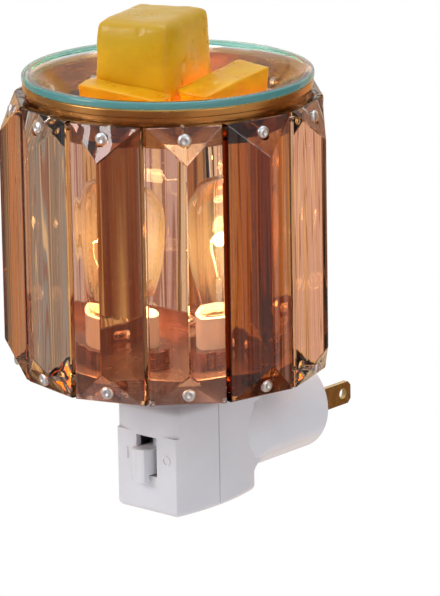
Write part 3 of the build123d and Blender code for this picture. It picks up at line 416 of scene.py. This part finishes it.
def wax():
    """Mustard wax, painted by height: orange towards its foot and darker towards its top, painted light and
    shade, with cloudy patches and small bubbles.
    """
    made, tree, shader, _ = new_material("wax")
    place = object_place(tree)
    height = tree.nodes.new("ShaderNodeSeparateXYZ")
    tree.links.new(place, height.inputs["Vector"])
    cloud = place_group(
        tree,
        MOTTLE,
        Place=object_place(tree, (120, 120, 160)),
        Dark=(0.82, 0.82, 0.82, 1),
        Light=(1, 1, 1, 1),
        Smooth=0.24,
        Rough=0.4,
    )
    # Colour by height is painted light and shade: orange towards the foot, darker towards the top
    level = value_range(tree, height.outputs["Z"], WAX_FOOT, WAX_CROWN)
    drift = add_math(tree, "MULTIPLY_ADD", cloud.outputs["Pattern"], 0.14)
    tree.links.new(level, drift.node.inputs[2])
    tone = colour_ramp(
        tree,
        drift,
        (0.10, (0.92, 0.33, 0.002)),
        (0.34, (0.80, 0.43, 0.004)),
        (0.66, (0.73, 0.47, 0.008)),
        (1.0, (0.54, 0.33, 0.030)),
    )
    shade = tree.nodes.new("ShaderNodeMix")
    shade.data_type = "RGBA"
    shade.blend_type = "MULTIPLY"
    shade.inputs["Factor"].default_value = 1
    tree.links.new(tone, shade.inputs[6])
    tree.links.new(cloud.outputs["Color"], shade.inputs[7])
    flecks = add_node(tree, "ShaderNodeTexVoronoi", Scale=105, Randomness=1)
    tree.links.new(place, flecks.inputs["Vector"])
    chosen = tree.nodes.new("ShaderNodeSeparateColor")
    tree.links.new(flecks.outputs["Color"], chosen.inputs["Color"])
    fleck = add_math(
        tree,
        "MULTIPLY",
        value_range(tree, flecks.outputs["Distance"], 0.20, 0.12, 0, 0.55),
        value_range(tree, chosen.outputs["Red"], 0.62, 0.66),
    )
    bubbled = blend_colours(tree, fleck, shade.outputs[2], (0.86, 0.66, 0.22))
    tree.links.new(bubbled, shader.inputs["Base Color"])
    tree.links.new(cloud.outputs["Roughness"], shader.inputs["Roughness"])
    shader.inputs["Specular IOR Level"].default_value = 0.35
    shader.inputs["Subsurface Weight"].default_value = 0.55
    shader.inputs["Subsurface Radius"].default_value = (1.0, 0.5, 0.1)
    shader.inputs["Subsurface Scale"].default_value = 3 * MM
    bubbles = add_node(tree, "ShaderNodeTexVoronoi", Scale=150, Randomness=1)
    tree.links.new(place, bubbles.inputs["Vector"])
    pits = value_range(tree, bubbles.outputs["Distance"], 0.1, 0.22)
    surface = add_math(tree, "MULTIPLY_ADD", cloud.outputs["Pattern"], 0.8)
    tree.links.new(pits, surface.node.inputs[2])
    add_relief(tree, shader, surface, 0.3, 0.5 * MM)
    return made


def metal(name, dark, light, smooth, rough, stretch, wear):
    """Metal with a mottled or brushed sheen and edges worn to a lighter tone."""
    made, tree, shader, _ = new_material(name)
    skin = place_group(
        tree,
        MOTTLE,
        Place=object_place(tree, stretch),
        Dark=(*dark, 1),
        Light=(*light, 1),
        Smooth=smooth,
        Rough=rough,
    )
    worn = place_group(tree, EDGE_MASK, Reach=0.25 * MM)
    tone = blend_colours(tree, worn.outputs["Mask"], skin.outputs["Color"], wear)
    tree.links.new(tone, shader.inputs["Base Color"])
    tree.links.new(skin.outputs["Roughness"], shader.inputs["Roughness"])
    shader.inputs["Metallic"].default_value = 1
    add_relief(tree, shader, skin.outputs["Pattern"], 0.04, 0.05 * MM)
    return made


def plastic(name, dark, light, smooth, rough):
    """Moulded plastic with a fine skin and slightly rubbed edges."""
    made, tree, shader, _ = new_material(name)
    cloud = place_group(
        tree,
        MOTTLE,
        Place=object_place(tree, (70, 70, 70)),
        Dark=(*dark, 1),
        Light=(*light, 1),
        Smooth=smooth,
        Rough=rough,
    )
    rubbed = place_group(tree, EDGE_MASK, Reach=0.2 * MM)
    tree.links.new(cloud.outputs["Color"], shader.inputs["Base Color"])
    gloss = tree.nodes.new("ShaderNodeMapRange")
    gloss.inputs["To Max"].default_value = smooth
    tree.links.new(rubbed.outputs["Mask"], gloss.inputs["Value"])
    tree.links.new(cloud.outputs["Roughness"], gloss.inputs["To Min"])
    tree.links.new(gloss.outputs["Result"], shader.inputs["Roughness"])
    skin = add_node(tree, "ShaderNodeTexNoise", Scale=1500, Detail=2, Roughness=0.5)
    tree.links.new(object_place(tree), skin.inputs["Vector"])
    add_relief(tree, shader, skin.outputs["Fac"], 0.05, 0.1 * MM)
    return made


def glowing_filament():
    """Hot wire, whitest in the middle of the coil."""
    made, tree, shader, _ = new_material("glowing_filament")
    run = tree.nodes.new("ShaderNodeVectorMath")
    run.operation = "LENGTH"
    tree.links.new(object_place(tree, (1, 1, 1), FILAMENT_CENTRE), run.inputs[0])
    heat = value_range(tree, run.outputs["Value"], 2.5 * MM, 5 * MM)
    tone = blend_colours(tree, heat, (1, 0.8, 0.45), (1, 0.5, 0.16))
    tree.links.new(tone, shader.inputs["Base Color"])
    tree.links.new(tone, shader.inputs["Emission Color"])
    shader.inputs["Emission Strength"].default_value = 220
    shader.inputs["Roughness"].default_value = 0.5
    return made


# Pieces
def dress(made, *names):
    """Put a finish on CAD nodes."""
    for name in names:
        node = nodes[name]
        node.data.materials.clear()
        node.data.materials.append(made)


def finish_piece(name, mesh, body, slot, finish, smooth, *replaced):
    """Make an object of a finished bmesh, in place, riding on a body."""
    data = bpy.data.meshes.new(name)
    for face in mesh.faces:
        face.smooth = smooth
    mesh.to_mesh(data)
    mesh.free()
    data.materials.append(finish)
    piece = bpy.data.objects.new(name, data)
    bpy.context.scene.collection.objects.link(piece)
    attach(piece, body)
    if replaced:
        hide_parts(*replaced)
    return piece


def copy_node(name):
    """Merged bmesh copy of a CAD node."""
    mesh = bmesh.new()
    mesh.from_mesh(nodes[name].data)
    bmesh.ops.remove_doubles(mesh, verts=mesh.verts, dist=0.001 * MM)
    return mesh


def make_bars(*finishes):
    """Crystal bars with ground edges, whose depth of tint changes from bar to bar."""
    for number in range(1, BAR_COUNT + 1):
        name = f"crystal_bar_{number:02d}"
        mesh = copy_node(name)
        bmesh.ops.dissolve_limit(
            mesh, angle_limit=radians(1), verts=mesh.verts, edges=mesh.edges, use_dissolve_boundaries=False
        )
        sharp = [e for e in mesh.edges if e.calc_length() > LONG_EDGE and e.calc_face_angle(0) > radians(10)]
        bmesh.ops.bevel(
            mesh,
            geom=sharp,
            offset=GROUND_EDGE,
            offset_type="OFFSET",
            affect="EDGES",
            segments=1,
            profile=0.5,
            material=-1,
            clamp_overlap=True,
        )
        finish = finishes[(number - 1) % len(finishes)]
        finish_piece(f"ground_{name}", mesh, "warmer", "crystal", finish, False, name)


def make_pins(name, finish):
    """Pins whose round heads have a small dimple."""
    low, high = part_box(name)
    middle = (low.z + high.z) / 2
    mesh = copy_node(name)
    for number in range(BAR_COUNT):
        turn = DRUM_TURN + number * 2 * pi / BAR_COUNT
        outward = Vector((sin(turn), -cos(turn), 0))
        foot = DRUM_AXIS + Vector((0, 0, middle))
        for vert in mesh.verts:
            reach = (vert.co - foot).dot(outward)
            off_axis = (vert.co - foot - outward * reach).length
            if reach > PIN_HEAD_REACH and off_axis < PIN_DIMPLE_RADIUS:
                vert.co -= outward * PIN_DIMPLE_DEPTH * (1 - (off_axis / PIN_DIMPLE_RADIUS) ** 2)
    piece = finish_piece(f"dimpled_{name}", mesh, "warmer", "pin_steel", finish, True, name)
    piece.data.set_sharp_from_angle(angle=radians(35))


def make_dish(clear_finish, rim_finish):
    """Glass dish with a blue-green outer edge, its rim a hair above the flange that carries it."""
    mesh = copy_node("glass_dish")
    seat = DISH_RIM_TOP - DISH_RIM_HEIGHT
    for vert in mesh.verts:
        if abs(vert.co.z - seat) < 0.01 * MM:
            vert.co.z += DISH_LIFT
    for face in mesh.faces:
        middle = face.calc_center_median() - DRUM_AXIS
        face.material_index = int(middle.xy.length > RIM_EDGE)
    piece = finish_piece("clear_glass_dish", mesh, "dish", "dish_glass", clear_finish, True, "glass_dish")
    piece.data.materials.append(rim_finish)
    piece.data.set_sharp_from_angle(angle=radians(30))


def melt_block(node, body, finish, length, width, height, foot_taper, top_taper, turn, tilt, rounding):
    """Wax melt: a tapered block with soft, uneven faces, in the place of its CAD block."""
    mesh = bmesh.new()
    bmesh.ops.create_cube(mesh, size=1)
    for vert in mesh.verts:
        taper = 2 * (top_taper if vert.co.z > 0 else foot_taper)
        vert.co.x *= (length - taper) * MM
        vert.co.y *= (width - taper) * MM
        vert.co.z *= height * MM
    bmesh.ops.subdivide_edges(mesh, edges=mesh.edges[:], cuts=WAX_CUTS, use_grid_fill=True)
    for step in range(rounding):
        bmesh.ops.smooth_vert(
            mesh, verts=mesh.verts, factor=0.5, use_axis_x=True, use_axis_y=True, use_axis_z=True
        )
    mesh.normal_update()
    for vert in mesh.verts:
        wide = noise.noise(vert.co / WAX_WIDE_WAVE + Vector((length, width, height)))
        fine = noise.noise(vert.co / WAX_FINE_WAVE + Vector((height, length, width)))
        vert.co += vert.normal * WAX_MELT * (wide + 0.35 * fine - 0.5)
    bmesh.ops.rotate(mesh, verts=mesh.verts, matrix=Matrix.Rotation(radians(-tilt), 3, "Y"))
    bmesh.ops.rotate(mesh, verts=mesh.verts, matrix=Matrix.Rotation(radians(turn), 3, "Z"))
    low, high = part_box(node)
    places = [vert.co for vert in mesh.verts]
    middle = Vector([(min(p[a] for p in places) + max(p[a] for p in places)) / 2 for a in range(3)])
    spans = [max(p[a] for p in places) - min(p[a] for p in places) for a in range(3)]
    fit = Matrix.Diagonal([WAX_FIT * (high[a] - low[a]) / spans[a] for a in range(3)])
    for vert in mesh.verts:
        vert.co = (low + high) / 2 + fit @ (vert.co - middle)
    finish_piece(f"melted_{node}", mesh, body, "wax", finish, True, node)


def make_filament(finish):
    """Coiled filament, bowed up between the tops of its two leads."""
    half = (FILAMENT_HIGH.x - FILAMENT_LOW.x) / 2 - COIL_WIRE
    rise = FILAMENT_HIGH.z - FILAMENT_LOW.z - COIL_RADIUS - COIL_WIRE
    curve = bpy.data.curves.new("filament_coil", "CURVE")
    curve.dimensions = "3D"
    curve.bevel_depth = COIL_WIRE
    curve.bevel_resolution = 2
    spline = curve.splines.new("NURBS")
    spline.points.add(COIL_STEPS)
    for step, point in enumerate(spline.points):
        along = step / COIL_STEPS
        bow = sin(pi * along)
        radius = COIL_RADIUS * min(1, 6 * min(along, 1 - along))
        spin = 2 * pi * COIL_TURNS * along
        point.co = (
            FILAMENT_CENTRE.x + half * (2 * along - 1),
            FILAMENT_CENTRE.y + radius * cos(spin),
            FILAMENT_LOW.z + COIL_WIRE + rise * bow + radius * sin(spin) * bow,
            1,
        )
    spline.order_u = 3
    spline.use_endpoint_u = True
    drawn = bpy.data.objects.new("filament_coil", curve)
    bpy.context.scene.collection.objects.link(drawn)
    data = bpy.data.meshes.new_from_object(drawn.evaluated_get(bpy.context.evaluated_depsgraph_get()))
    bpy.data.objects.remove(drawn)
    mesh = bmesh.new()
    mesh.from_mesh(data)
    finish_piece("coiled_filament", mesh, "bulb", "filament", finish, True, "bulb_filament")


def stage_lamp(name, place, size, power, tint):
    """Soft square lamp aimed at the middle of the drum."""
    data = bpy.data.lights.new(name, "AREA")
    data.size = size
    data.energy = power
    data.color = tint
    lamp = bpy.data.objects.new(name, data)
    lamp.location = place
    lamp.rotation_euler = (LAMP_AIM - Vector(place)).to_track_quat("-Z", "Y").to_euler()
    bpy.context.scene.collection.objects.link(lamp)


def make_floor():
    """Pale floor far below, on which glass and metal see the studio panels."""
    mesh = bmesh.new()
    bmesh.ops.create_grid(mesh, x_segments=1, y_segments=1, size=FLOOR_HALF)
    bmesh.ops.translate(mesh, verts=mesh.verts, vec=(0, 0, FLOOR_HEIGHT))
    data = bpy.data.meshes.new("floor")
    mesh.to_mesh(data)
    mesh.free()
    made, tree, shader, output = new_material("floor_paper")
    shader.inputs["Base Color"].default_value = (0.9, 0.9, 0.9, 1)
    shader.inputs["Roughness"].default_value = 0.9
    panels = place_group(tree, PANEL_RING, Way=object_place(tree, (1, 1, 1), DRUM_AXIS))
    path = tree.nodes.new("ShaderNodeLightPath")
    seen = blend_colours(tree, path.outputs["Is Camera Ray"], panels.outputs["Color"], (1, 1, 1))
    white = tree.nodes.new("ShaderNodeEmission")
    tree.links.new(seen, white.inputs["Color"])
    shown = add_math(tree, "MAXIMUM", glass_rays(tree, path), path.outputs["Is Camera Ray"])
    mix = tree.nodes.new("ShaderNodeMixShader")
    tree.links.new(shown, mix.inputs["Fac"])
    tree.links.new(shader.outputs["BSDF"], mix.inputs[1])
    tree.links.new(white.outputs["Emission"], mix.inputs[2])
    tree.links.new(mix.outputs["Shader"], output.inputs["Surface"])
    data.materials.append(made)
    floor = bpy.data.objects.new("floor", data)
    bpy.context.scene.collection.objects.link(floor)


def make_room():
    """Soft grey room, lighter overhead, with panels for mirrors and glass and white for the camera."""
    world = bpy.data.worlds.new("soft_room")
    world.use_nodes = True
    tree = world.node_tree
    coordinates = tree.nodes.new("ShaderNodeTexCoord")
    way = tree.nodes.new("ShaderNodeSeparateXYZ")
    tree.links.new(coordinates.outputs["Generated"], way.inputs["Vector"])
    room = colour_ramp(
        tree,
        value_range(tree, way.outputs["Z"], -0.2, 1),
        (0.0, (0.34, 0.33, 0.35)),
        (0.3, (0.46, 0.45, 0.48)),
        (1.0, (0.85, 0.86, 0.9)),
    )
    panels = place_group(tree, PANEL_RING, Way=coordinates.outputs["Generated"])
    path = tree.nodes.new("ShaderNodeLightPath")
    level = value_range(tree, way.outputs["Z"], 0.7, 0.35)
    shown = add_math(tree, "MULTIPLY", glass_rays(tree, path), level)
    room = blend_colours(tree, shown, room, panels.outputs["Color"])
    seen = blend_colours(tree, path.outputs["Is Camera Ray"], room, (1, 1, 1))
    tree.links.new(seen, tree.nodes["Background"].inputs["Color"])
    bpy.context.scene.world = world


def make_lamps():
    """Key lamp from the front left, weak fill from the right, one overhead, and the lit filament."""
    stage_lamp("key_lamp", KEY_PLACE, size=0.7, power=11, tint=(1, 1, 1))
    stage_lamp("fill_lamp", FILL_PLACE, size=0.7, power=2.5, tint=(0.95, 0.97, 1))
    stage_lamp("top_lamp", TOP_PLACE, size=0.8, power=5, tint=(1, 0.98, 0.96))
    data = bpy.data.lights.new("filament_light", "POINT")
    data.energy = FILAMENT_POWER
    data.color = (1, 0.68, 0.34)
    data.shadow_soft_size = 2 * MM
    lamp = bpy.data.objects.new("filament_light", data)
    lamp.location = FILAMENT_CENTRE
    bpy.context.scene.collection.objects.link(lamp)


make_camera()
make_floor()
make_room()
make_lamps()

light = crystal_glass("light_crystal", LIGHT_TINT)
amber = crystal_glass("amber_crystal", AMBER_TINT)
make_bars(amber, light, crystal_glass("deep_crystal", DEEP_TINT), light, amber, light)
make_dish(
    dish_glass("dish_glass", clear=1, dark=(0.93, 0.95, 0.95), light=(0.97, 0.98, 0.98)),
    dish_glass("dish_rim_glass", clear=0.45, dark=(0.12, 0.44, 0.43), light=(0.20, 0.54, 0.52)),
)
wax_finish = wax()
melt_block("wax_cube_left", "left_wax", wax_finish, **LEFT_MELT)
melt_block("wax_cube_right", "right_wax", wax_finish, **RIGHT_MELT)
melt_block("wax_cube_large", "large_wax", wax_finish, **LARGE_MELT)
make_filament(glowing_filament())

steel = metal(
    "pin_steel",
    dark=(0.7, 0.72, 0.74),
    light=(0.84, 0.85, 0.87),
    smooth=0.3,
    rough=0.42,
    stretch=(500, 500, 500),
    wear=(0.92, 0.93, 0.94),
)
copper = metal(
    "copper_sheet",
    dark=(0.46, 0.21, 0.065),
    light=(0.60, 0.31, 0.095),
    smooth=0.2,
    rough=0.3,
    stretch=(45, 45, 260),
    wear=(0.85, 0.54, 0.2),
)
rose_copper = metal(
    "rose_copper_sheet",
    dark=(0.36, 0.20, 0.17),
    light=(0.47, 0.28, 0.235),
    smooth=0.2,
    rough=0.3,
    stretch=(45, 45, 260),
    wear=(0.8, 0.56, 0.4),
)
brass = metal(
    "brass",
    dark=(0.6, 0.42, 0.16),
    light=(0.74, 0.56, 0.26),
    smooth=0.16,
    rough=0.3,
    stretch=(400, 400, 400),
    wear=(0.85, 0.7, 0.4),
)
solder = metal(
    "solder",
    dark=(0.42, 0.42, 0.41),
    light=(0.6, 0.6, 0.58),
    smooth=0.3,
    rough=0.45,
    stretch=(700, 700, 700),
    wear=(0.66, 0.66, 0.64),
)
white = plastic(
    "white_plastic", dark=(0.70, 0.70, 0.725), light=(0.74, 0.74, 0.765), smooth=0.16, rough=0.24
)
black_glass = plastic("black_glass", dark=(0.012,) * 3, light=(0.03,) * 3, smooth=0.08, rough=0.16)
live_cover = plastic("live_insulation", dark=(0.02,) * 3, light=(0.05,) * 3, smooth=0.35, rough=0.5)
neutral_cover = plastic("neutral_insulation", dark=(0.66,) * 3, light=(0.74,) * 3, smooth=0.35, rough=0.5)

make_pins("top_pins", steel)
make_pins("bottom_pins", steel)
dress(steel, "top_pin_clips", "bottom_pin_clips", "shell_screws", "lever_pin")
dress(bulb_clear_glass(), "bulb_glass", "bulb_stem")
dress(copper, "top_ring")
dress(rose_copper, "shade_tray", "shade_nut")
dress(brass, "plug_blade_left", "plug_blade_right", "live_contact_arc", "neutral_contact_arc")
dress(brass, "screw_shell", "centre_contact", "bulb_cap")
dress(brass, "live_switch_strip", "load_switch_strip", "switch_bridge")
dress(solder, "bulb_tip", "bulb_leads")
dress(white, "front_shell", "rear_shell", "switch_lever", "lamp_holder", "plug_disc", "contact_carrier")
dress(black_glass, "bulb_insulator")
dress(live_cover, "live_wire", "switch_wire")
dress(neutral_cover, "neutral_wire")

bpy.context.scene.view_settings.view_transform = "Standard"
